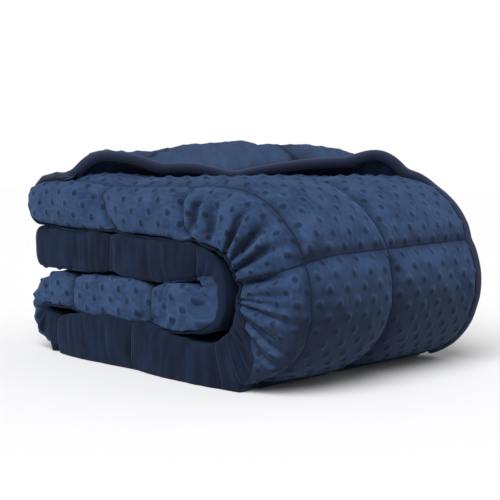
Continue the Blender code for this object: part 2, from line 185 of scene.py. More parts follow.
def natural_cubic(knots: np.ndarray, values: np.ndarray, at: np.ndarray) -> np.ndarray:
    """Read a smooth curve through values at knots.

    Args:
        knots: where the values lie, rising.
        values: the values.
        at: the places to read.

    Returns:
        The curve's value at each place.
    """
    gaps = np.diff(knots)
    slopes = np.diff(values) / gaps
    size = len(knots)
    left = np.eye(size)
    right = np.zeros(size)
    for i in range(1, size - 1):
        left[i, i - 1 : i + 2] = gaps[i - 1], 2 * (gaps[i - 1] + gaps[i]), gaps[i]
        right[i] = 6 * (slopes[i] - slopes[i - 1])
    bend = np.linalg.solve(left, right)
    span = np.clip(np.searchsorted(knots, at) - 1, 0, size - 2)
    gap = gaps[span]
    before, after = at - knots[span], knots[span + 1] - at
    return (
        bend[span] * after**3 / (6 * gap)
        + bend[span + 1] * before**3 / (6 * gap)
        + (values[span] / gap - bend[span] * gap / 6) * after
        + (values[span + 1] / gap - bend[span + 1] * gap / 6) * before
    )


def smooth_step(low: float, high: float, value: np.ndarray) -> np.ndarray:
    """0 at low and before it, 1 at high and past it, with a soft change between them."""
    share = np.clip((value - low) / (high - low), 0.0, 1.0)
    return share * share * (3 - 2 * share)


def between(low: float, high: float, share: np.ndarray) -> np.ndarray:
    """Go from low to high as the share goes from 0 to 1."""
    return low + (high - low) * share


def from_start(steps: np.ndarray) -> np.ndarray:
    """Add steps up along a line, or along each row of them, from 0 before the first."""
    return np.concatenate([np.zeros((*steps.shape[:-1], 1)), np.cumsum(steps, axis=-1)], axis=-1)


def distances(x: np.ndarray, y: np.ndarray) -> np.ndarray:
    """Give the distances along a line of points, or along each row of them, from 0."""
    return from_start(np.hypot(np.diff(x), np.diff(y)))


@dataclass
class Crumple:
    """Soft unevenness of cloth, as seeded random heights on a lattice."""

    seed: int
    along_u: float  # the lattice's spacing across the cloth, in metres
    along_v: float  # and along it
    height: float  # the largest
    size: int = 64

    def at(self, u: np.ndarray, v: np.ndarray) -> np.ndarray:
        """Read the height at places on the cloth.

        Args:
            u: across the cloth, in metres.
            v: along the cloth, in metres.

        Returns:
            The heights.
        """
        heights = np.random.default_rng(self.seed).uniform(-1.0, 1.0, (self.size, self.size))
        x, y = u / self.along_u, v / self.along_v
        column, row = np.floor(x).astype(int), np.floor(y).astype(int)
        fx, fy = smooth_step(0.0, 1.0, x - column), smooth_step(0.0, 1.0, y - row)
        i, j = column % self.size, row % self.size
        k, m = (i + 1) % self.size, (j + 1) % self.size
        near = heights[i, j] * (1 - fx) + heights[k, j] * fx
        far = heights[i, m] * (1 - fx) + heights[k, m] * fx
        return self.height * (near * (1 - fy) + far * fy)


@dataclass
class DotLattice:
    """The raised dots of the plush, in staggered rows."""

    pitch: float = 0.0250  # between dots in a row, across the strip
    row: float = 0.0145  # between rows, along the strip
    radius: float = 0.0046
    height: float = 0.0021

    def raised(self, u: np.ndarray, v: np.ndarray) -> np.ndarray:
        """Give the dots' height at places on the cloth.

        Args:
            u: across the cloth, in metres.
            v: along the cloth, in metres.

        Returns:
            The heights, 0 between the dots.
        """
        row = np.round(v / self.row)
        across = u / self.pitch + 0.5 * (row % 2)
        du = (across - np.round(across)) * self.pitch
        dv = v - row * self.row
        share = 1 - (du**2 + dv**2) / self.radius**2
        return self.height * np.clip(share, 0.0, 1.0)


class Run:
    """The strip's middle line, read by the distance along it."""

    SAMPLES = 6000
    NEARBY = 0.002

    def __init__(self) -> None:
        """Draw the line through the table's rows."""
        table = np.array([row[1:] for row in RUN])
        knots = distances(table[:, 0], table[:, 1])
        fine = np.linspace(0.0, knots[-1], self.SAMPLES)
        self.y, self.z, self.half, self.set_in, self.roll = (
            natural_cubic(knots, column, fine) for column in table.T
        )
        self.along = distances(self.y, self.z)
        self.length = float(self.along[-1])
        at_rows = np.interp(knots, fine, self.along)
        self.place = {row[0]: float(at) for row, at in zip(RUN, at_rows)}
        out_y, out_z = self.outward(self.along)
        self.cloth = distances(self.y + out_y * self.half, self.z + out_z * self.half)

    def read(self, column: np.ndarray, s: np.ndarray) -> np.ndarray:
        """Read one of the line's columns at distances along it."""
        return np.interp(s, self.along, column)

    def outward(self, s: np.ndarray) -> tuple[np.ndarray, np.ndarray]:
        """Give the unit direction, in y and z, from the middle line to the dotted face."""
        dy = self.read(self.y, s + self.NEARBY) - self.read(self.y, s - self.NEARBY)
        dz = self.read(self.z, s + self.NEARBY) - self.read(self.z, s - self.NEARBY)
        size = np.hypot(dy, dz)
        return dz / size, -dy / size


@dataclass
class Weave:
    """A grid of points that becomes a piece of cloth, as rows of columns."""

    points: np.ndarray  # x, y and z
    cloth: np.ndarray  # places on the cloth, in metres
    quilt: np.ndarray  # places in the quilting, with a seam at each whole number


def deselect() -> None:
    """Leave no object selected."""
    bpy.ops.object.select_all(action="DESELECT")


def cloth_piece(name: str, weave: Weave) -> bpy.types.Object:
    """Shape a grid primitive into a piece of cloth and close it behind.

    Args:
        name: the piece's name.
        weave: where its points lie.

    Returns:
        The closed piece, with the UV maps cloth and quilt.
    """
    rows, columns = weave.points.shape[:2]
    deselect()
    bpy.ops.mesh.primitive_grid_add(x_subdivisions=columns - 1, y_subdivisions=rows - 1, size=1.0)
    piece = bpy.context.object
    piece.name = name
    mesh = piece.data
    mesh.name = name
    flat = np.zeros(len(mesh.vertices) * 3, np.float32)
    mesh.vertices.foreach_get("co", flat)
    flat = flat.reshape(-1, 3)
    column = np.rint((flat[:, 0] + 0.5) * (columns - 1)).astype(int)
    row = np.rint((flat[:, 1] + 0.5) * (rows - 1)).astype(int)
    mesh.vertices.foreach_set("co", weave.points[row, column].astype(np.float32).ravel())
    index = np.zeros((rows, columns), int)
    index[row, column] = np.arange(len(row))
    close_behind(mesh, index)
    corner = np.zeros(len(mesh.loops), np.int32)
    mesh.loops.foreach_get("vertex_index", corner)
    for layer in list(mesh.uv_layers):
        mesh.uv_layers.remove(layer)
    for label, places in (("cloth", weave.cloth), ("quilt", weave.quilt)):
        layer = mesh.uv_layers.new(name=label)
        layer.data.foreach_set("uv", places[row, column][corner].astype(np.float32).ravel())
    mesh.uv_layers.active = mesh.uv_layers["cloth"]
    turn_outward()
    bpy.ops.object.shade_smooth()
    return piece


def turn_outward(merge: float = 0.0) -> None:
    """Merge the active piece's doubles, if a distance is given, and turn its faces outwards."""
    bpy.ops.object.mode_set(mode="EDIT")
    bpy.ops.mesh.select_all(action="SELECT")
    if merge:
        bpy.ops.mesh.remove_doubles(threshold=merge)
    bpy.ops.mesh.normals_make_consistent(inside=False)
    bpy.ops.object.mode_set(mode="OBJECT")


def surface_of(pieces: list[bpy.types.Object]) -> BVHTree:
    """Read the surface of some pieces together."""
    shell = bmesh.new()
    for piece in pieces:
        shell.from_mesh(piece.data)
    surface = BVHTree.FromBMesh(shell)
    shell.free()
    return surface


def close_behind(mesh: bpy.types.Mesh, index: np.ndarray) -> None:
    """Close a shaped grid with hidden faces between its edges.

    Args:
        mesh: the shaped grid.
        index: its vertices by row and column.
    """
    shell = bmesh.new()
    shell.from_mesh(mesh)
    shell.verts.ensure_lookup_table()
    rows = len(index)
    for i in range(rows - 1):
        corners = (index[i, 0], index[i + 1, 0], index[i + 1, -1], index[i, -1])
        shell.faces.new([shell.verts[k] for k in corners])
    for end in (index[0], index[-1]):
        shell.faces.new([shell.verts[k] for k in end])
    bmesh.ops.recalc_face_normals(shell, faces=shell.faces)
    shell.to_mesh(mesh)
    shell.free()


@dataclass
class Wrap:
    """One stretch of the strip and how finely it is shaped."""

    name: str
    first: str  # the place in the run where it starts
    last: str
    step: float  # between rows, in metres of the middle line
    dotted_flat: int  # columns on the flat of the dotted face
    plain_flat: int
    open_below: bool = True  # whether the dotted face lies free, not against another wrap


@dataclass
class QuiltedStrip:
    """The folded strip: its section, its quilting and its wraps."""

    fold_x: float = -0.155
    bound_x: float = 0.155
    plain_roll: float = 0.50
    bound_roll: float = 0.60
    corner_set_in: float = 0.020
    end_share: float = 0.10
    end_square: float = 2.1
    end_rounds: tuple[float, float] = (0.043, 0.026)
    row_seam_y: tuple[float, float] = (0.073, -0.085)
    front_seam_z: float = 0.126
    seam_depth: float = 0.0092
    seam_reach: float = 0.0150
    contact_draw: float = 0.15
    crease_round: float = 0.0012
    bow_reach: float = 0.055
    slant_span: float = 60.0
    ridge_share: float = 0.25
    ridge_width: float = 2.4
    ridge_fade: float = 0.2
    gather_start: tuple[float, float] = (4.0, 30.0)
    gather_stop: tuple[float, float] = (176.0, 160.0)
    plain_from: float = 179.0
    plain_seam_fade: tuple[float, float] = (-20.0, 10.0)
    streak_fade: tuple[float, float] = (6.0, -6.0)
    dot_reach_fade: tuple[float, float] = (0.0, 10.0)
    plain_seam_share: float = 0.3
    bound_fade: tuple[float, float] = (0.002, 0.030)
    bound_seam_share: float = 0.15
    bound_crumple_share: float = 0.3
    dot_seam_fade: tuple[float, float] = (0.0015, 0.0060)
    dot_seam_share: float = 0.35
    dot_bound_fade: tuple[float, float] = (0.004, 0.016)
    floor_flat: float = 0.0012
    base_flat: float = 0.0090
    fold_columns: int = 44
    bound_columns: int = 12
    arc_samples: int = 160
    end_rows: int = 20
    dots: DotLattice = field(default_factory=DotLattice)
    wraps: tuple[Wrap, ...] = (
        Wrap("outer", "top end", "base front", 0.0019, 108, 40),
        Wrap("base", "base front", "back bend end", 0.0028, 30, 24),
        Wrap("inner", "back bend end", "second end", 0.0028, 30, 24, open_below=False),
    )

    def __post_init__(self) -> None:
        """Lay out the run, its seams and its unevenness."""
        self.run = Run()
        self.seams = self.row_seams()
        thick = self.end_left(self.run.along) * self.run.half
        slope = np.diff(thick) / np.diff(self.run.along)
        self.cloth = from_start(np.diff(self.run.cloth) * np.hypot(1.0, slope))
        self.broad = Crumple(3, 0.055, 0.060, 0.0016)
        self.medium = Crumple(5, 0.022, 0.020, 0.0008)
        self.streaks = Crumple(7, 0.030, 0.0110, 0.0007)
        self.gathers = self.gather_lines()

    def row_seams(self) -> np.ndarray:
        """Give where the seams across the strip lie along the run."""
        run = self.run
        top = run.along < run.place["belly"]
        first = [float(run.along[top][np.argmin(abs(run.y[top] - y))]) for y in self.row_seam_y]
        front = float(run.along[top][np.argmin(abs(run.z[top] - self.front_seam_z))])
        rest = np.arange(front, run.length - ROW_WIDTH / 2, ROW_WIDTH)
        return np.array([*first, *rest])

    def gather_lines(self) -> list[tuple[float, ...]]:
        """Place each crease of the gathers, a little unevenly."""
        chance = np.random.default_rng(11)
        lines = []
        for first, last, count, depth, width, turn, reach, slant in GATHERS:
            low, high = self.run.place[first], self.run.place[last]
            pitch = (high - low) / count
            for k in range(count):
                at = low + pitch * (k + 0.5 + chance.uniform(-PLACE_SPREAD, PLACE_SPREAD))
                lines.append(
                    (
                        at,
                        depth * chance.uniform(*DEPTH_SHARES),
                        width * chance.uniform(*WIDTH_SHARES),
                        turn + chance.uniform(-TURN_SPREAD, TURN_SPREAD),
                        reach * chance.uniform(*REACH_SHARES),
                        slant * chance.uniform(*SLANT_SHARES),
                    )
                )
        return lines

    def read_table(self, table: tuple, s: np.ndarray) -> tuple[np.ndarray, ...]:
        """Read a table's columns at distances along the run.

        Args:
            table: rows that start with a place.
            s: the distances.

        Returns:
            The values of each column.
        """
        places, *columns = zip(*table)
        along = [self.run.place[place] for place in places]
        return tuple(np.interp(s, along, column) for column in columns)

    def dotted_reach(self, s: np.ndarray) -> np.ndarray:
        """Give how far round the fold edge the dotted plush reaches, in degrees."""
        return self.read_table(DOTTED_REACH, s)[0]

    def end_left(self, s: np.ndarray) -> np.ndarray:
        """Give the share of the thickness that is left near the strip's two ends."""
        first, last = self.end_rounds
        share = np.minimum(s / first, (self.run.length - s) / last)
        depth, power = 1 - np.clip(share, 0.0, 1.0), self.end_square
        return self.end_share + (1 - self.end_share) * np.clip(1 - depth**power, 0.0, 1.0) ** (1 / power)

    def fullness(self, s: np.ndarray) -> tuple[np.ndarray, ...]:
        """Give the two sides' squareness and the two halves' swell, as columns."""
        return tuple(values[:, None] for values in self.read_table(FULLNESS, s))

    def rows(self, wrap: Wrap) -> np.ndarray:
        """Give the rows of a wrap, closer together at the strip's ends."""
        low, high = self.run.place[wrap.first], self.run.place[wrap.last]
        even = np.linspace(low, high, round((high - low) / wrap.step))
        first, last = self.end_rounds
        eased = 1 - np.cos(np.linspace(0.0, np.pi / 2, self.end_rows))
        if low == 0.0:
            even = np.array([*(first * eased), *even[even > first + wrap.step / 2]])
        if high >= self.run.length:
            before = even[even < high - last - wrap.step / 2]
            even = np.array([*before, *(high - last * eased[::-1])])
        return even

    def row_phase(self, s: np.ndarray, x: np.ndarray, turn: np.ndarray) -> np.ndarray:
        """Number the row seams along the run, bowed round the fold edge.

        Args:
            s: distances along the run.
            x: places across the strip.
            turn: degrees round the fold edge from the dotted face.

        Returns:
            A value that is a whole number on each seam.
        """
        moved = s.copy()
        across = np.clip((self.bound_x - x) / (self.bound_x - COLUMN_SEAMS[0]), 0.0, 1.0)
        for seam, lean, turns, shifts in SEAM_BOWS:
            bow = natural_cubic(np.array(turns), np.array(shifts), np.clip(turn, 0.0, FULL_TURN))
            near = np.exp(-(((s - self.seams[seam]) / self.bow_reach) ** 2))
            moved = moved - (bow + lean * across) * near
        beyond = SEAM_BEYOND * ROW_WIDTH
        ends = np.array([self.seams[0] - beyond, *self.seams, self.seams[-1] + beyond])
        return np.interp(moved, ends, np.arange(len(ends)) - 1.0)

    def valley(self, distance: np.ndarray) -> np.ndarray:
        """1 on a seam and 0 well away from it, with a narrow rounded crease."""
        return np.exp(-(np.hypot(distance, self.crease_round) - self.crease_round) / self.seam_reach)

    def gathered(self, s: np.ndarray, turn: np.ndarray) -> np.ndarray:
        """Give the depth of the creases of the gathers.

        Args:
            s: distances along the run.
            turn: degrees round the fold edge from the dotted face.

        Returns:
            The depths, positive inwards.
        """
        depth = np.zeros_like(s)
        for at, deep, width, middle, reach, slant in self.gathers:
            away = s - at - slant * (turn - middle) / self.slant_span
            near = np.exp(-((away / width) ** 2)) * np.exp(-(((turn - middle) / reach) ** 2))
            ridge = np.exp(-((away / (self.ridge_width * width)) ** 2)) * near**self.ridge_fade
            depth = depth + deep * (near - self.ridge_share * ridge)
        return depth * smooth_step(*self.gather_start, turn) * smooth_step(*self.gather_stop, turn)

    def ring(self, s: np.ndarray, face: PlushFace, flat: int) -> tuple[np.ndarray, ...]:
        """Lay out the section's columns on one face, from the fold edge to the bound edge.

        Args:
            s: the rows' distances along the run.
            face: which face.
            flat: the number of columns on its flat part.

        Returns:
            x, height, the normal's x and height, and the turn round the fold edge in degrees.
        """
        run = self.run
        left = self.end_left(s)[:, None]
        half = run.read(run.half, s)[:, None] * left
        narrow = self.corner_set_in * (1 - left)
        fold_x = self.fold_x + run.read(run.set_in, s)[:, None] + narrow
        bound_x = self.bound_x - narrow
        dotted_roll = half * run.read(run.roll, s)[:, None]
        bound_roll = half * self.bound_roll
        high = bound_x - bound_roll
        dotted_power, plain_power, dotted_swell, plain_swell = self.fullness(s)
        dotted = face is PlushFace.DOTTED
        sign = 1.0 if dotted else -1.0
        dotted_half, plain_half = half + dotted_swell * left, half + plain_swell * left

        def edge(turn: np.ndarray) -> tuple[np.ndarray, ...]:
            """Lay out the fold edge at these turns, as x, height and the normal's x and height."""
            angle = np.radians(turn)
            near = turn < 90.0
            power = np.where(near, dotted_power, plain_power)
            roll = np.where(near, dotted_roll, half * self.plain_roll)
            reach = np.where(near, dotted_half, plain_half)
            sine, cosine = np.sin(angle), np.abs(np.cos(angle))
            side = np.where(near, 1.0, -1.0)
            x = fold_x + roll * (1 - sine**power)
            normal_h = side * cosine ** (2 - power) * roll
            return x, side * reach * cosine**power, -(sine ** (2 - power)) * reach, normal_h

        reach = self.dotted_reach(s)[:, None]
        share = np.linspace(0.0, 1.0, self.arc_samples)[None, :]
        turn = self.evened(edge, reach * (1 - share) if dotted else reach + (FULL_TURN - reach) * share)
        fold = (*edge(turn), turn)
        flat_roll = dotted_roll if dotted else half * self.plain_roll
        flat_half = dotted_half if dotted else plain_half
        flat_turn = 0.0 if dotted else FULL_TURN
        step = np.linspace(0.0, 1.0, flat + 2)[None, 1:-1]
        x = fold_x + flat_roll + (high - fold_x - flat_roll) * step
        none = np.zeros_like(x)
        middle = (x, sign * flat_half + none, none, sign + none, none + flat_turn)
        angle = np.linspace(0.0, np.pi / 2, self.bound_columns)[None, :]
        end = np.zeros_like(angle) + np.zeros_like(half)
        bound = (
            high + bound_roll * np.sin(angle),
            sign * flat_half * np.cos(angle),
            np.sin(angle) * half + end,
            sign * np.cos(angle) * bound_roll + end,
            end + flat_turn,
        )
        x, height, normal_x, normal_h, turn = (
            np.concatenate(parts, axis=1) for parts in zip(fold, middle, bound)
        )
        size = np.hypot(normal_x, normal_h)
        return x, height, normal_x / size, normal_h / size, turn

    def evened(self, edge: Callable, turn: np.ndarray) -> np.ndarray:
        """Choose the fold edge's columns evenly along its arc.

        Args:
            edge: lays out the fold edge at its turns.
            turn: rows of closely spaced turns.

        Returns:
            Rows of as many turns as the fold edge has columns.
        """
        x, height, _, _ = edge(turn)
        along = distances(x, height)
        share = np.linspace(0.0, 1.0, self.fold_columns)
        return np.array([np.interp(share * row[-1], row, turns) for row, turns in zip(along, turn)])

    def weave(self, wrap: Wrap, face: PlushFace) -> Weave:
        """Work out where one half of a wrap lies.

        Args:
            wrap: the stretch of the strip.
            face: its dotted or its plain half.

        Returns:
            The grid of points and their places on the cloth.
        """
        run = self.run
        s = self.rows(wrap)
        flat = wrap.dotted_flat if face is PlushFace.DOTTED else wrap.plain_flat
        x, height, normal_x, normal_h, turn = self.ring(s, face, flat)
        along = distances(x, height)
        anchor = self.fold_columns + flat // 2
        u = along - along[:, anchor : anchor + 1] + x[:, anchor : anchor + 1]
        every = np.zeros_like(x) + s[:, None]
        v = np.interp(every, run.along, self.cloth)
        first, last = COLUMN_SEAMS
        columns = np.array([first - COLUMN_WIDTH, first, last, last + SEAM_BEYOND * COLUMN_WIDTH])
        column_phase = np.interp(x, columns, np.arange(len(columns)) - 1.0)
        row_phase = self.row_phase(every, x, turn)
        left = self.end_left(s)[:, None]
        free = face is PlushFace.DOTTED and wrap.open_below
        inward = self.relief(every, x, u, v, turn, row_phase, face, free) * left
        x = x - normal_x * inward
        height = height - normal_h * inward
        out_y, out_z = (part[:, None] for part in run.outward(s))
        y = run.read(run.y, s)[:, None] + out_y * height - MIDDLE[1]
        z = run.read(run.z, s)[:, None] + out_z * height
        z = self.pressed(every, z)
        points = np.stack([x - MIDDLE[0], y, z], axis=-1)
        cloth = np.stack([u, v], axis=-1)
        quilt = np.stack([column_phase, row_phase], axis=-1)
        return Weave(points, cloth, quilt)

    def pressed(self, s: np.ndarray, z: np.ndarray) -> np.ndarray:
        """Press the cloth flat where it meets the ground."""
        low, high = self.run.place["base front"], self.run.place["back bend start"]
        level = np.where((s > low) & (s < high), self.base_flat, self.floor_flat)
        return np.where(z < level, 0.0, z)

    def relief(
        self,
        s: np.ndarray,
        x: np.ndarray,
        u: np.ndarray,
        v: np.ndarray,
        turn: np.ndarray,
        row_phase: np.ndarray,
        face: PlushFace,
        free: bool,
    ) -> np.ndarray:
        """Work out how far the cloth lies inside the section's plain outline.

        Args:
            s: distances along the run.
            x: places across the strip.
            u: places across the cloth.
            v: places along the cloth.
            turn: degrees round the fold edge.
            row_phase: whole on each row seam.
            face: dotted or plain.
            free: whether it lies free, not against another wrap.

        Returns:
            The depths, negative where dots and ridges stand proud.
        """
        row_gap = abs(row_phase - np.round(row_phase)) * ROW_WIDTH
        rows = self.valley(row_gap)
        column_gap = np.min([abs(x - line) for line in COLUMN_SEAMS], axis=0)
        drawn = 1.0 if free else self.contact_draw
        columns = self.valley(column_gap) * abs(np.cos(np.radians(turn))) * drawn
        edge = self.dotted_reach(s) - turn
        faint = between(self.plain_seam_share, 1.0, smooth_step(*self.plain_seam_fade, edge))
        rows = np.where(turn < self.plain_from, rows * faint, rows)
        inside = self.bound_x - x
        inner = smooth_step(*self.bound_fade, inside)
        depth = self.seam_depth * np.maximum(rows, columns) * between(self.bound_seam_share, 1.0, inner)
        depth += self.gathered(s, turn)
        crumple = self.broad.at(u, v) + self.medium.at(u, v)
        depth -= crumple * between(self.bound_crumple_share, 1.0, inner)
        depth -= self.streaks.at(u, v) * smooth_step(*self.streak_fade, edge)
        if face is PlushFace.PLAIN:
            return depth
        seam_near = np.minimum(row_gap, column_gap)
        fade = between(self.dot_seam_share, 1.0, smooth_step(*self.dot_seam_fade, seam_near))
        fade = fade * smooth_step(*self.dot_bound_fade, inside)
        depth -= self.dots.raised(u, v) * fade * smooth_step(*self.dot_reach_fade, edge)
        return depth

    def build(self, finishes: dict[PlushFace, bpy.types.Material]) -> list[bpy.types.Object]:
        """Make the pieces of every wrap.

        Args:
            finishes: the material of each face.

        Returns:
            The pieces.
        """
        pieces = []
        for wrap in self.wraps:
            for face in PlushFace:
                piece = cloth_piece(f"{wrap.name}_{face.value}", self.weave(wrap, face))
                dress(piece, finishes[face])
                pieces.append(piece)
        return pieces


def dress(piece: bpy.types.Object, finish: bpy.types.Material) -> None:
    """Give a piece its finish and its body.

    Args:
        piece: the piece.
        finish: its material.
    """
    piece.data.materials.clear()
    piece.data.materials.append(finish)
    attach(piece, BODY)


@dataclass
class TurnedCorner:
    """The top layer's far corner, turned back over the strip so that its plain face shows."""

    hem_left: tuple[float, float] = (-0.138, 0.168)
    hem_right: tuple[float, float] = (0.138, -0.142)
    far_corner: tuple[float, float] = (0.137, 0.216)
    corner_round: float = 0.10
    bow: float = 0.003
    hem_thick: float = 0.0095
    crowns: tuple[tuple[float, float], ...] = (
        (0.0, 0.004),
        (0.05, 0.014),
        (0.12, 0.021),
        (0.25, 0.029),
        (0.40, 0.034),
        (0.55, 0.042),
        (0.70, 0.040),
        (0.80, 0.034),
        (0.93, 0.021),
        (1.0, 0.004),
    )
    landing: float = 0.09
    puff_power: float = 0.6
    sink_from: float = 0.80
    arches: tuple[tuple[float, float, float, float], ...] = (
        # share of the hem, lift, reach to the left, reach to the right
        (0.105, 0.0140, 0.08, 0.22),
        (0.885, 0.0165, 0.17, 0.09),
    )
    loose_share: float = 0.30
    sink: float = 0.006
    rim_dip: float = 0.009
    crown_least: float = 0.003
    tip: float = 0.004
    taper_share: float = 0.10
    taper_least: float = 0.03
    rows: int = 190
    columns: int = 110
    under_columns: int = 30
    seams: tuple[tuple[float, float], ...] = ((0.235, 0.16), (0.66, -0.10))
    seam_pitch: float = 0.1494
    seam_draw: float = 0.0030
    seam_reach: float = 0.010
    rounding: tuple[float, ...] = (0.25, 0.5, 0.75)
    rim_bulge: float = 0.0035
    least_thick: float = 0.002
    smoothing: int = 6

    def on_top_of(self, below: bpy.types.Object) -> None:
        """Read the strip's top from the piece that the corner lies on."""
        self.below = surface_of([below])
        self.crumples = (
            Crumple(21, 0.050, 0.045, 0.0018),
            Crumple(23, 0.055, 0.0090, 0.0009),
            Crumple(25, 0.018, 0.016, 0.0006),
        )

    def ground(self, x: float, y: float) -> float:
        """Give the height of the strip's top there, or past its edge the height just inside."""
        for inside in np.linspace(1.0, 0.7, 16):
            start = Vector((x * inside, y * inside, 1.0))
            hit = self.below.ray_cast(start, Vector((0, 0, -1)))[0]
            if hit is not None:
                return hit.z
        return 0.0

    def hem(self, a: float) -> np.ndarray:
        """Give x and y of the hem, from its left end to its right end."""
        left, right = np.array(self.hem_left), np.array(self.hem_right)
        along = (right - left) / np.hypot(*(right - left))
        near = np.array([along[1], -along[0]])
        return left + (right - left) * a + near * self.bow * np.sin(np.pi * a)

    def far(self, a: float) -> np.ndarray:
        """Give x and y of the far fold, which turns the corner on its way from end to end."""
        left, right, corner = map(np.array, (self.hem_left, self.hem_right, self.far_corner))
        first, second = np.hypot(*(corner - left)), np.hypot(*(right - corner))
        turn = first / (first + second)
        near = (a - turn) / self.corner_round
        past = self.corner_round * (near + 1) ** 2 / 4 if abs(near) < 1 else max(0.0, a - turn)
        return left + (corner - left) * (a - past) / turn + (right - corner) * past / (1 - turn)

    def taper(self, a: float) -> float:
        """1 along most of the hem, falling off at its two ends."""
        return float(np.sqrt(np.clip(min(a, 1 - a) / self.taper_share, self.taper_least, 1.0)))

    def lift(self, a: float) -> float:
        """Give how far the hem stands over the strip's top."""
        rise = sum(
            up * math.exp(-(((a - at) / (left if a < at else right)) ** 2))
            for at, up, left, right in self.arches
        )
        return rise * float(smooth_step(0.0, self.landing, a) * smooth_step(0.0, self.landing, 1 - a))

    def crown_at(self, a: float) -> float:
        """Give how far the layer's middle stands over the strip's top."""
        places, heights = zip(*self.crowns)
        return float(np.interp(a, places, heights))

    def top(self, a: float, b: np.ndarray) -> np.ndarray:
        """Give the layer's rise over the strip, from the hem (0) to the far fold (1)."""
        puff = np.sin(np.pi * np.minimum(b, 0.5)) ** self.puff_power
        edge = self.lift(a) + self.hem_thick * self.taper(a)
        rise = edge + (max(self.crown_at(a), edge + self.crown_least * self.taper(a)) - edge) * puff
        sink = np.clip((b - self.sink_from) / (1 - self.sink_from), 0.0, 1.0) ** 2
        return rise - sink * (rise + self.rim_dip)

    def underside(self, a: float, b: np.ndarray) -> np.ndarray:
        """Give the underside's rise over the strip, loose near the hem and sunk beyond it."""
        fall = smooth_step(0.0, self.loose_share, b)
        return self.lift(a) - (self.lift(a) + self.sink) * fall

    def relief(self, u: np.ndarray, v: np.ndarray, b: np.ndarray) -> np.ndarray:
        """Give the height of the layer's creases and unevenness."""
        height = sum(crumple.at(u, v) for crumple in self.crumples)
        return height * smooth_step(0.0, 0.10, b) * smooth_step(1.0, 0.5, b)

    def weave(self) -> Weave:
        """Work out where the corner lies, from under the hem over the top to the far fold."""
        points, cloth, quilt = [], [], []
        over = np.sin(np.linspace(0.0, np.pi / 2, self.columns))
        under = np.linspace(1.0, 0.0, self.under_columns)
        rounding = np.array(self.rounding)
        kernel = np.full(2 * self.smoothing + 1, 1 / (2 * self.smoothing + 1))
        for a in np.linspace(self.tip, 1 - self.tip, self.rows):
            hem, far = self.hem(a), self.far(a)
            width = float(np.hypot(*(far - hem)))
            v = np.full(len(over), a * float(np.hypot(*(self.hem(1.0) - self.hem(0.0)))))
            ground = np.array([self.ground(*(hem + (far - hem) * b - np.array(MIDDLE))) for b in over])
            smooth = np.convolve(np.pad(ground, self.smoothing, mode="edge"), kernel, mode="valid")
            high = smooth + self.top(a, over)
            high = high + self.relief(over * width, v, over) - self.seam_dip(a, over)
            low = np.interp(under, over, smooth) + self.underside(a, under)
            low = np.minimum(low, np.interp(under, over, high) - self.least_thick)
            edge = low[-1] + (high[0] - low[-1]) * rounding
            bulge = self.rim_bulge * np.sin(np.pi * rounding)
            b = np.concatenate([under, -bulge / width, over])
            z = np.concatenate([low, edge, high])
            xy = hem[None, :] + (far - hem)[None, :] * b[:, None] - np.array(MIDDLE)[None, :]
            points.append(np.column_stack([xy, z]))
            cloth.append(np.column_stack([b * width, np.full(len(b), v[0])]))
            quilt.append(np.column_stack([np.full(len(b), 0.5), self.seam_phase(a, b)]))
        return Weave(np.array(points), np.array(cloth), np.array(quilt))

    def seam_phase(self, a: float, b: np.ndarray) -> np.ndarray:
        """Number the layer's seams, with a whole number on each."""
        knots = np.array([-0.5, *(at for at, _ in self.seams), 1.5])
        lean = np.interp(a, knots[1:-1], [slope for _, slope in self.seams])
        return np.interp(a - lean * np.clip(b, 0.0, 1.0), knots, [0.5, 1.0, 2.0, 2.5])

    def seam_dip(self, a: float, b: np.ndarray) -> np.ndarray:
        """Give how far the seams draw the layer in."""
        phase = self.seam_phase(a, b)
        away = abs(phase - np.round(phase)) * self.seam_pitch
        fade = smooth_step(0.02, 0.20, b) * between(0.35, 1.0, smooth_step(0.95, 0.55, b))
        return self.seam_draw * np.exp(-away / self.seam_reach) * fade

    def build(self, finish: bpy.types.Material) -> bpy.types.Object:
        """Make the corner's piece."""
        piece = cloth_piece("turned_corner", self.weave())
        dress(piece, finish)
        return piece


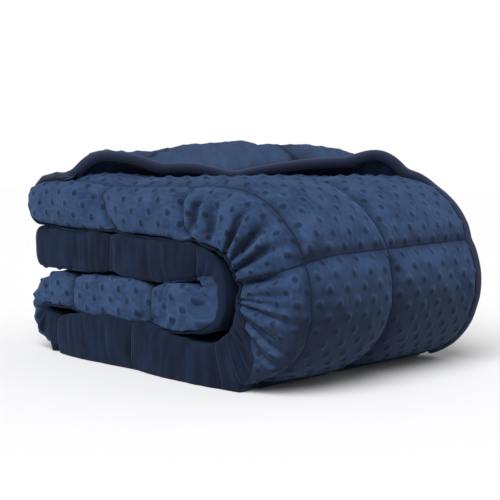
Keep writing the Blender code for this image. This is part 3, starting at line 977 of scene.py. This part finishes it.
@dataclass
class EdgeBinding:
    """The folded strip of cloth that binds the blanket's edge."""

    strip: QuiltedStrip
    corner: TurnedCorner
    slim: float = 0.0040
    full: float = 0.0046
    band_rise: float = 0.0085
    band_stretch: float = 0.45
    sides: int = 20
    step: float = 0.0030
    start_z: float = 0.030
    edge_turn: float = 36.0
    hem_span: tuple[float, float] = (0.965, 0.035)
    tail_x: float = -0.126
    tail_turns: tuple[int, ...] = (10, 30, 50, 70, 90, 110, 130, 150)
    tail_set_in: float = 0.85
    smoothing: int = 14
    seat_share: float = 0.85
    shoulder_gap: float = 0.010
    hem_points: int = 140
    hem_set_out: float = 0.020
    merge: float = 0.00001

    def seated_on(self, pieces: list[bpy.types.Object]) -> None:
        """Read the surfaces that the binding lies on."""
        self.surface = surface_of(pieces)

    def seat(self, point: np.ndarray) -> np.ndarray:
        """Move a point of the path onto the cloth, as far as its radius calls for.

        Args:
            point: x, y, z and radius, in the finished model's place.

        Returns:
            x, y and z of the seated point.
        """
        free = Vector(point[:3])
        near, normal, _, distance = self.surface.find_nearest(free)
        away = free - near
        clear = point[3] * self.seat_share
        outward = normal if away.dot(normal) < 0 or distance < 1e-6 else away / distance
        share = float(np.clip((self.full - point[3]) / (self.full - self.slim), 0.0, 1.0))
        return np.array(free.lerp(near + outward * clear, share))

    def up_the_edge(self) -> list[tuple[float, ...]]:
        """Follow the bound edge from the heel over the front bend."""
        run = self.strip.run
        starts = run.along[(run.along < run.place["base front"]) & (run.z > self.start_z)][-1]
        turn = math.radians(self.edge_turn)
        points = []
        for s in np.arange(starts, run.place["shoulder"] - self.shoulder_gap, -self.step):
            half = float(run.read(run.half, s))
            roll = half * self.strip.bound_roll
            x = self.strip.bound_x - roll * (1 - math.sin(turn)) - 0.5 * self.slim
            height = half * math.cos(turn) + 0.5 * self.slim
            out_y, out_z = run.outward(s)
            y = float(run.read(run.y, s) + out_y * height)
            z = float(run.read(run.z, s) + out_z * height)
            points.append((x, y, z, self.slim))
        return points

    def along_the_hem(self) -> list[tuple[float, ...]]:
        """Follow the hem from its right end to its left end."""
        corner = self.corner
        points = []
        for a in np.linspace(*self.hem_span, self.hem_points):
            x, y = corner.hem(a) - self.hem_set_out * (corner.far(a) - corner.hem(a))
            ground = corner.ground(x - MIDDLE[0], y - MIDDLE[1])
            z = ground + corner.lift(a) + self.band_rise * corner.taper(a)
            points.append((x, y, z, self.full))
        return points

    def down_the_end(self) -> list[tuple[float, ...]]:
        """Follow the top arm's end down from the hem."""
        run = self.strip.run
        half = float(run.half[0])
        points = []
        for turn in self.tail_turns:
            angle = math.radians(turn)
            y = float(run.y[0]) + half * (math.sin(angle) - self.tail_set_in)
            points.append((self.tail_x, y, float(run.z[0]) + half * math.cos(angle), self.slim))
        return points

    def path(self) -> np.ndarray:
        """Join the stretches into one smooth, evenly spaced path with its radius."""
        path = np.array(self.up_the_edge() + self.along_the_hem() + self.down_the_end())
        path = path - np.array([*MIDDLE, 0.0, 0.0])
        for _ in range(self.smoothing):
            path = self.spaced(path)
            path[1:-1] = (path[:-2] + 2 * path[1:-1] + path[2:]) / 4
            path[:, :3] = [self.seat(point) for point in path]
        path[1:-1] = (path[:-2] + 2 * path[1:-1] + path[2:]) / 4
        return path

    def spaced(self, path: np.ndarray) -> np.ndarray:
        """Space the path's points a step apart."""
        along = from_start(np.linalg.norm(np.diff(path[:, :3], axis=0), axis=1))
        even = np.linspace(0.0, along[-1], round(along[-1] / self.step))
        return np.array([np.interp(even, along, column) for column in path.T]).T

    def build(self, finish: bpy.types.Material) -> bpy.types.Object:
        """Make the binding as one closed tube, taller along the hem.

        Args:
            finish: its material.

        Returns:
            The piece.
        """
        path = self.path()
        middles, radii = path[:, :3], path[:, 3]
        along = np.gradient(middles, axis=0)
        along /= np.linalg.norm(along, axis=1)[:, None]
        run_length = from_start(np.linalg.norm(np.diff(middles, axis=0), axis=1))
        across = np.cross(along[0], (0.0, 0.0, 1.0))
        turns = np.linspace(0.0, 2 * np.pi, self.sides + 1)
        points, cloth = [], []
        for middle, ahead, radius, far in zip(middles, along, radii, run_length):
            across = across - ahead * across.dot(ahead)
            across /= np.linalg.norm(across)
            up = np.cross(across, ahead)
            tall = 1.0 + self.band_stretch * (radius - self.slim) / (self.full - self.slim)
            ring = [middle + radius * (across * math.cos(t) + up * tall * math.sin(t)) for t in turns]
            points.append(ring)
            cloth.append([(t * radius, far) for t in turns])
        places = np.array(cloth)
        piece = cloth_piece("edge_binding_cloth", Weave(np.array(points), places, np.full(places.shape, 0.5)))
        turn_outward(merge=self.merge)
        dress(piece, finish)
        return piece


Socket = bpy.types.NodeSocket


class Recipe:
    """A material's nodes, added and joined one by one."""

    def __init__(self, name: str) -> None:
        """Start a material with a Principled shader.

        Args:
            name: the material's name.
        """
        self.material = bpy.data.materials.new(name)
        self.material.use_nodes = True
        self.tree = self.material.node_tree
        self.shader = self.tree.nodes["Principled BSDF"]

    def add(self, kind: str, **settings: object) -> bpy.types.Node:
        """Add a node with its settings."""
        node = self.tree.nodes.new(kind)
        for key, value in settings.items():
            setattr(node, key, value)
        return node

    def join(self, value: object, socket: Socket) -> None:
        """Join a socket to an input, or set the input to a number or colour."""
        if isinstance(value, bpy.types.NodeSocket):
            self.tree.links.new(value, socket)
        else:
            socket.default_value = value

    def made(self, kind: str, values: dict, output: object, **settings: object) -> Socket:
        """Add a node, join its inputs and give one of its outputs.

        Args:
            kind: of node.
            values: what goes into its inputs, by name or number.
            output: the name or number of the output.
            settings: the node's own.

        Returns:
            The output.
        """
        node = self.add(kind, **settings)
        for key, value in values.items():
            self.join(value, node.inputs[key])
        return node.outputs[output]

    def math(self, operation: str, *values: object) -> Socket:
        """Work out a sum of sockets and numbers."""
        return self.made("ShaderNodeMath", dict(enumerate(values)), 0, operation=operation)

    def times(self, first: object, second: object) -> Socket:
        """Multiply two values."""
        return self.math("MULTIPLY", first, second)

    def plus(self, first: object, second: object) -> Socket:
        """Add two values."""
        return self.math("ADD", first, second)

    def minus(self, first: object, second: object) -> Socket:
        """Take the second value from the first."""
        return self.math("SUBTRACT", first, second)

    def rest(self, share: Socket) -> Socket:
        """Give what is left of 1."""
        return self.minus(1.0, share)

    def step(self, value: Socket, low: float, high: float) -> Socket:
        """Change softly from 0 at low to 1 at high."""
        values = {"Value": value, "From Min": low, "From Max": high}
        return self.made("ShaderNodeMapRange", values, "Result", interpolation_type="SMOOTHSTEP")

    def mix(self, share: object, first: object, second: object) -> Socket:
        """Mix two colours."""
        return self.made("ShaderNodeMix", {"Factor": share, 6: first, 7: second}, 2, data_type="RGBA")

    def tint(self, colour: Socket, share: Socket, amount: float, towards: object) -> Socket:
        """Mix a colour in by an amount of the share."""
        return self.mix(self.times(share, amount), colour, towards)

    def noise(self, where: Socket, scale: float, detail: float) -> Socket:
        """Read a noise there, 0 to 1."""
        return self.made("ShaderNodeTexNoise", {"Vector": where, "Scale": scale, "Detail": detail}, "Fac")

    def stretched(self, where: Socket, scale: tuple[float, float, float]) -> Socket:
        """Scale places on the cloth."""
        return self.made("ShaderNodeMapping", {"Vector": where, "Scale": scale}, "Vector")

    def cloth(self, label: str) -> tuple[Socket, Socket, Socket]:
        """Read a UV map as its vector, u and v."""
        node = self.add("ShaderNodeUVMap", uv_map=label)
        parts = self.add("ShaderNodeSeparateXYZ")
        self.join(node.outputs["UV"], parts.inputs[0])
        return node.outputs["UV"], parts.outputs["X"], parts.outputs["Y"]

    def bump(self, height: Socket, distance: float, strength: float, under: Socket | None = None) -> Socket:
        """Turn a height into a bumped normal."""
        values = {"Height": height, "Distance": distance, "Strength": strength}
        if under is not None:
            values["Normal"] = under
        return self.made("ShaderNodeBump", values, "Normal")

    def seam(self) -> tuple[Socket, Socket]:
        """Read the nearness of the quilting's seams.

        Returns:
            1 on the stitched line, and 1 in the wider crease round it.
        """
        _, column, row = self.cloth("quilt")
        gaps = []
        for phase, width in ((column, COLUMN_WIDTH), (row, ROW_WIDTH)):
            away = self.math("ABSOLUTE", self.minus(phase, self.math("ROUND", phase)))
            gaps.append(self.times(away, width))
        gap = self.math("MINIMUM", *gaps)
        line = self.rest(self.step(gap, 0.0003, 0.0014))
        crease = self.rest(self.step(gap, 0.0005, 0.0090))
        return line, crease

    def dots(self, lattice: DotLattice) -> Socket:
        """Give the distance to the nearest dot's middle."""
        _, u, v = self.cloth("cloth")
        place = self.math("DIVIDE", v, lattice.row)
        row = self.math("ROUND", place)
        odd = self.times(self.math("FLOORED_MODULO", row, 2.0), 0.5)
        across = self.plus(self.math("DIVIDE", u, lattice.pitch), odd)
        du = self.times(self.minus(across, self.math("ROUND", across)), lattice.pitch)
        dv = self.times(self.minus(place, row), lattice.row)
        square = self.plus(self.times(du, du), self.times(dv, dv))
        return self.math("SQRT", square)

    def facing(self) -> tuple[Socket, Socket, Socket]:
        """Read the surface's normal as x, y and z."""
        node = self.add("ShaderNodeNewGeometry")
        parts = self.add("ShaderNodeSeparateXYZ")
        self.join(node.outputs["Normal"], parts.inputs[0])
        return tuple(parts.outputs)

    def finish(self, colour: Socket, normal: Socket, **numbers: object) -> bpy.types.Material:
        """Join the colour and normal to the shader and set its own numbers.

        Args:
            colour: of the base.
            normal: bumped.
            numbers: the shader's inputs by name, with _ for a space.

        Returns:
            The material.
        """
        self.join(colour, self.shader.inputs["Base Color"])
        self.join(normal, self.shader.inputs["Normal"])
        for name, value in numbers.items():
            self.shader.inputs[name.replace("_", " ")].default_value = value
        return self.material


@dataclass(frozen=True)
class DottedPlush:
    """Short plush with raised dots, darker in the dots and on its stitched seams, with painted shade in the
    dots on faces towards -X, in the creases and on steep faces turned from the light, and a painted highlight
    round each dot.
    """

    ground: tuple[float, ...] = srgb(49, 70, 103)
    brushed: tuple[float, ...] = srgb(33, 50, 79)
    # The dots' own dark colour, also the colour of the painted shade in them on faces towards -X
    dot: tuple[float, ...] = srgb(12, 20, 38)
    painted_rim_highlight: tuple[float, ...] = srgb(72, 96, 136)
    shade: tuple[float, ...] = srgb(16, 21, 32)
    # Dark stitching, also the colour of the painted shade in the seams' creases
    seam: tuple[float, ...] = srgb(12, 20, 38)
    sheen: tuple[float, ...] = srgb(110, 145, 200)
    dot_core: tuple[float, float] = (0.0016, 0.0050)  # distances from a dot's middle
    dot_dome: tuple[float, float] = (0.0020, 0.0050)
    rim_inner: tuple[float, float] = (0.0038, 0.0050)
    rim_outer: tuple[float, float] = (0.0052, 0.0068)
    low_from: tuple[float, float] = (2.0, 2.25)  # in row seams: the front's lower half
    low_to: tuple[float, float] = (4.2, 4.6)

    def make(self, lattice: DotLattice) -> bpy.types.Material:
        """Build the material's nodes."""
        recipe = Recipe("dotted_plush")
        where, _, _ = recipe.cloth("cloth")
        line, crease = recipe.seam()
        _, _, row = recipe.cloth("quilt")
        away = recipe.dots(lattice)
        x, y, z = recipe.facing()
        patches = recipe.noise(where, 38.0, 3.0)
        pile = recipe.noise(recipe.stretched(where, (1.0, 0.6, 1.0)), 900.0, 3.0)
        nap = recipe.noise(recipe.stretched(where, (1.0, 0.35, 1.0)), 260.0, 3.0)
        share = recipe.plus(recipe.times(patches, 0.55), recipe.times(nap, 0.45))
        colour = recipe.mix(recipe.step(share, 0.34, 0.66), self.brushed, self.ground)
        # The dots are darker in their own colour everywhere, and painted shade darkens them more on faces
        # turned towards -X
        inside = recipe.rest(recipe.step(away, *self.dot_core))
        side = recipe.step(recipe.times(x, -1.0), -0.15, 0.55)
        dot_tone_and_shade = recipe.times(inside, recipe.plus(recipe.times(side, 0.46), 0.20))
        colour = recipe.mix(dot_tone_and_shade, colour, self.dot)
        # Painted highlight: a lighter ring round each dot
        painted_rim_highlight = recipe.minus(recipe.step(away, *self.rim_inner), recipe.step(away, *self.rim_outer))
        colour = recipe.tint(colour, painted_rim_highlight, 0.10, self.painted_rim_highlight)
        # Painted shade: steep faces darken towards the shade colour unless they face -X, towards the light,
        # and below the front's row seam the faces towards -X darken too
        level = recipe.rest(recipe.step(z, -0.25, 0.55))
        lit = recipe.step(recipe.times(x, -1.0), 0.40, 0.98)
        low = recipe.minus(recipe.step(row, *self.low_from), recipe.step(row, *self.low_to))
        lit = recipe.times(lit, recipe.rest(recipe.times(low, 0.85)))
        against = recipe.times(level, recipe.rest(lit))
        colour = recipe.tint(colour, against, 0.85, self.shade)
        # Painted shade in the wider crease round each seam, and a dark stitched line that is both its thread
        # and painted shade in its groove
        colour = recipe.tint(colour, crease, 0.45, self.seam)
        colour = recipe.tint(colour, line, 0.8, self.seam)
        dome = recipe.rest(recipe.step(away, *self.dot_dome))
        stitched = recipe.times(line, -1.0)
        normal = recipe.bump(dome, 0.0012, 0.55)
        normal = recipe.bump(stitched, 0.0012, 0.7, normal)
        normal = recipe.bump(recipe.plus(pile, nap), 0.0009, 0.45, normal)
        return recipe.finish(
            colour,
            normal,
            Roughness=0.85,
            Sheen_Weight=0.30,
            Sheen_Roughness=0.45,
            Sheen_Tint=self.sheen,
            Specular_IOR_Level=0.15,
        )


@dataclass(frozen=True)
class PlainPlush:
    """Short plain plush, with soft streaks where the pile has been brushed, and painted light on its upward
    faces where lift is set.
    """

    name: str = "plain_plush"
    # How much painted light lightens the upward faces, 0 for none
    lift: float = 0.0
    ground: tuple[float, ...] = srgb(21, 32, 53)
    brushed: tuple[float, ...] = srgb(12, 19, 34)
    painted_top_light: tuple[float, ...] = srgb(54, 73, 104)
    # Dark stitching, also the colour of the painted shade in the seams' creases
    seam: tuple[float, ...] = srgb(7, 10, 20)
    sheen: tuple[float, ...] = srgb(110, 145, 200)

    def make(self) -> bpy.types.Material:
        """Build the material's nodes."""
        recipe = Recipe(self.name)
        where, _, _ = recipe.cloth("cloth")
        line, crease = recipe.seam()
        streaks = recipe.noise(recipe.stretched(where, (0.35, 1.6, 1.0)), 70.0, 4.0)
        patches = recipe.noise(where, 30.0, 2.0)
        pile = recipe.noise(recipe.stretched(where, (0.6, 1.0, 1.0)), 900.0, 3.0)
        share = recipe.plus(recipe.times(streaks, 0.6), recipe.times(patches, 0.4))
        colour = recipe.mix(recipe.step(share, 0.36, 0.66), self.brushed, self.ground)
        # Painted light: upward faces are made lighter, unevenly along the streaks, by the lift share
        _, _, z = recipe.facing()
        painted_top_light = recipe.times(recipe.step(z, 0.15, 0.85), recipe.plus(share, 0.2))
        colour = recipe.tint(colour, painted_top_light, self.lift, self.painted_top_light)
        # Painted shade in the wider crease round each seam, and a dark stitched line that is both its thread
        # and painted shade in its groove
        colour = recipe.tint(colour, crease, 0.4, self.seam)
        colour = recipe.tint(colour, line, 0.7, self.seam)
        normal = recipe.bump(recipe.times(line, -1.0), 0.0012, 0.7)
        normal = recipe.bump(streaks, 0.0020, 0.35, normal)
        normal = recipe.bump(pile, 0.0008, 0.4, normal)
        return recipe.finish(
            colour,
            normal,
            Roughness=0.88,
            Sheen_Weight=0.20,
            Sheen_Roughness=0.45,
            Sheen_Tint=self.sheen,
            Specular_IOR_Level=0.12,
        )


@dataclass(frozen=True)
class BindingCloth:
    """Smooth, closely woven binding, with a painted highlight on its upward faces."""

    ground: tuple[float, ...] = srgb(24, 35, 60)
    painted_top_highlight: tuple[float, ...] = srgb(46, 62, 98)

    def make(self) -> bpy.types.Material:
        """Build the material's nodes."""
        recipe = Recipe("binding_cloth")
        where, _, _ = recipe.cloth("cloth")
        _, _, z = recipe.facing()
        weave = recipe.add("ShaderNodeTexWave", wave_type="BANDS", bands_direction="DIAGONAL")
        recipe.join(where, weave.inputs["Vector"])
        recipe.join(900.0, weave.inputs["Scale"])
        patches = recipe.noise(where, 90.0, 3.0)
        # Painted highlight: the binding's upward faces are made lighter
        light = recipe.times(recipe.step(z, 0.35, 0.95), 0.75)
        colour = recipe.mix(light, self.ground, self.painted_top_highlight)
        colour = recipe.tint(colour, patches, 0.35, self.ground)
        normal = recipe.bump(weave.outputs["Fac"], 0.0002, 0.3)
        normal = recipe.bump(patches, 0.0012, 0.3, normal)
        return recipe.finish(colour, normal, Roughness=0.7, Sheen_Weight=0.15, Specular_IOR_Level=0.25)


@dataclass
class Studio:
    """The pale floor, the soft lights and the camera."""

    azimuth: float = -45.084
    elevation: float = 5.368
    distance: float = 1.2529
    aim_z: float = 0.11
    focal_px: float = 1066.3
    shift_px: tuple[float, float] = (-9.961, 10.430)
    roll: float = 0.148
    frame_px: float = 500.0
    sensor: float = 36.0
    fill: float = 0.34
    floor_size: float = 12.0
    floor_gap: float = 0.0005
    lights: tuple[tuple[str, tuple[float, float, float], float, float], ...] = (
        # name, the side that it comes from, spread in degrees, strength
        ("window", (-0.62, -0.25, 0.75), 50.0, 3.3),
        ("right", (0.8, -0.5, 0.5), 60.0, 0.35),
    )

    def floor(self) -> None:
        """Lay a plain pale floor."""
        deselect()
        place = (0.0, 0.0, -self.floor_gap)
        bpy.ops.mesh.primitive_plane_add(size=self.floor_size, location=place)
        ground = bpy.context.object
        ground.name = "studio_floor"
        recipe = Recipe("studio_floor")
        recipe.shader.inputs["Base Color"].default_value = srgb(240, 240, 241)
        recipe.shader.inputs["Roughness"].default_value = 0.9
        ground.data.materials.append(recipe.material)

    def camera(self) -> None:
        """Set the camera at the photograph's viewing angle."""
        turn, up = math.radians(self.azimuth), math.radians(self.elevation)
        back = Vector((math.sin(turn) * math.cos(up), -math.cos(turn) * math.cos(up), math.sin(up)))
        lens = bpy.data.cameras.new("camera")
        camera = bpy.data.objects.new("camera", lens)
        bpy.context.scene.collection.objects.link(camera)
        place = Matrix.Translation(Vector((0.0, 0.0, self.aim_z)) + back * self.distance)
        aim = (-back).to_track_quat("-Z", "Y").to_matrix().to_4x4()
        camera.matrix_world = place @ aim @ Matrix.Rotation(math.radians(self.roll), 4, "Z")
        lens.sensor_width = self.sensor
        lens.lens = self.sensor * self.focal_px / self.frame_px
        lens.shift_x = -self.shift_px[0] / self.frame_px
        lens.shift_y = self.shift_px[1] / self.frame_px
        bpy.context.scene.camera = camera

    def light(self, name: str, side: tuple[float, float, float], spread: float, power: float) -> None:
        """Add soft, even light from one side.

        Args:
            name: of the light.
            side: the direction that it comes from.
            spread: in degrees, how wide it looks from the blanket.
            power: its strength.
        """
        lamp = bpy.data.lights.new(name, "SUN")
        lamp.angle = math.radians(spread)
        lamp.energy = power
        holder = bpy.data.objects.new(name, lamp)
        bpy.context.scene.collection.objects.link(holder)
        holder.location = side
        holder.rotation_euler = (-Vector(side)).to_track_quat("-Z", "Y").to_euler()

    def build(self) -> None:
        """Set up the whole studio."""
        self.camera()
        self.floor()
        world = bpy.data.worlds.new("studio")
        bpy.context.scene.world = world
        world.use_nodes = True
        sky = world.node_tree.nodes["Background"]
        sky.inputs["Color"].default_value = (1.0, 1.0, 1.0, 1.0)
        rays = world.node_tree.nodes.new("ShaderNodeLightPath")
        strength = world.node_tree.nodes.new("ShaderNodeMapRange")
        strength.inputs["To Min"].default_value = self.fill
        strength.inputs["To Max"].default_value = 1.0
        world.node_tree.links.new(rays.outputs["Is Camera Ray"], strength.inputs["Value"])
        world.node_tree.links.new(strength.outputs["Result"], sky.inputs["Strength"])
        for row in self.lights:
            self.light(*row)
        bpy.context.scene.view_settings.view_transform = "Standard"


def main() -> None:
    """Build the blanket and its studio in order."""
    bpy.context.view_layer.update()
    strip = QuiltedStrip()
    finishes = {
        PlushFace.DOTTED: DottedPlush().make(strip.dots),
        PlushFace.PLAIN: PlainPlush().make(),
    }
    wraps = strip.build(finishes)
    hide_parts("quilted_blanket")
    corner = TurnedCorner()
    corner.on_top_of(wraps[0])
    # The turned corner's plain plush, with painted light on its upward faces
    turned = corner.build(PlainPlush("top_lit_plain_plush", lift=1.0).make())
    edging = EdgeBinding(strip, corner)
    edging.seated_on(wraps[:2])
    binding = edging.build(BindingCloth().make())
    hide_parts("edge_binding")
    for piece in [*wraps, turned, binding]:
        log.info("%s: %d faces", piece.name, len(piece.data.polygons))
    Studio().build()


if __name__ == "__main__":
    logging.basicConfig(level=logging.INFO, format="%(message)s")
    main()
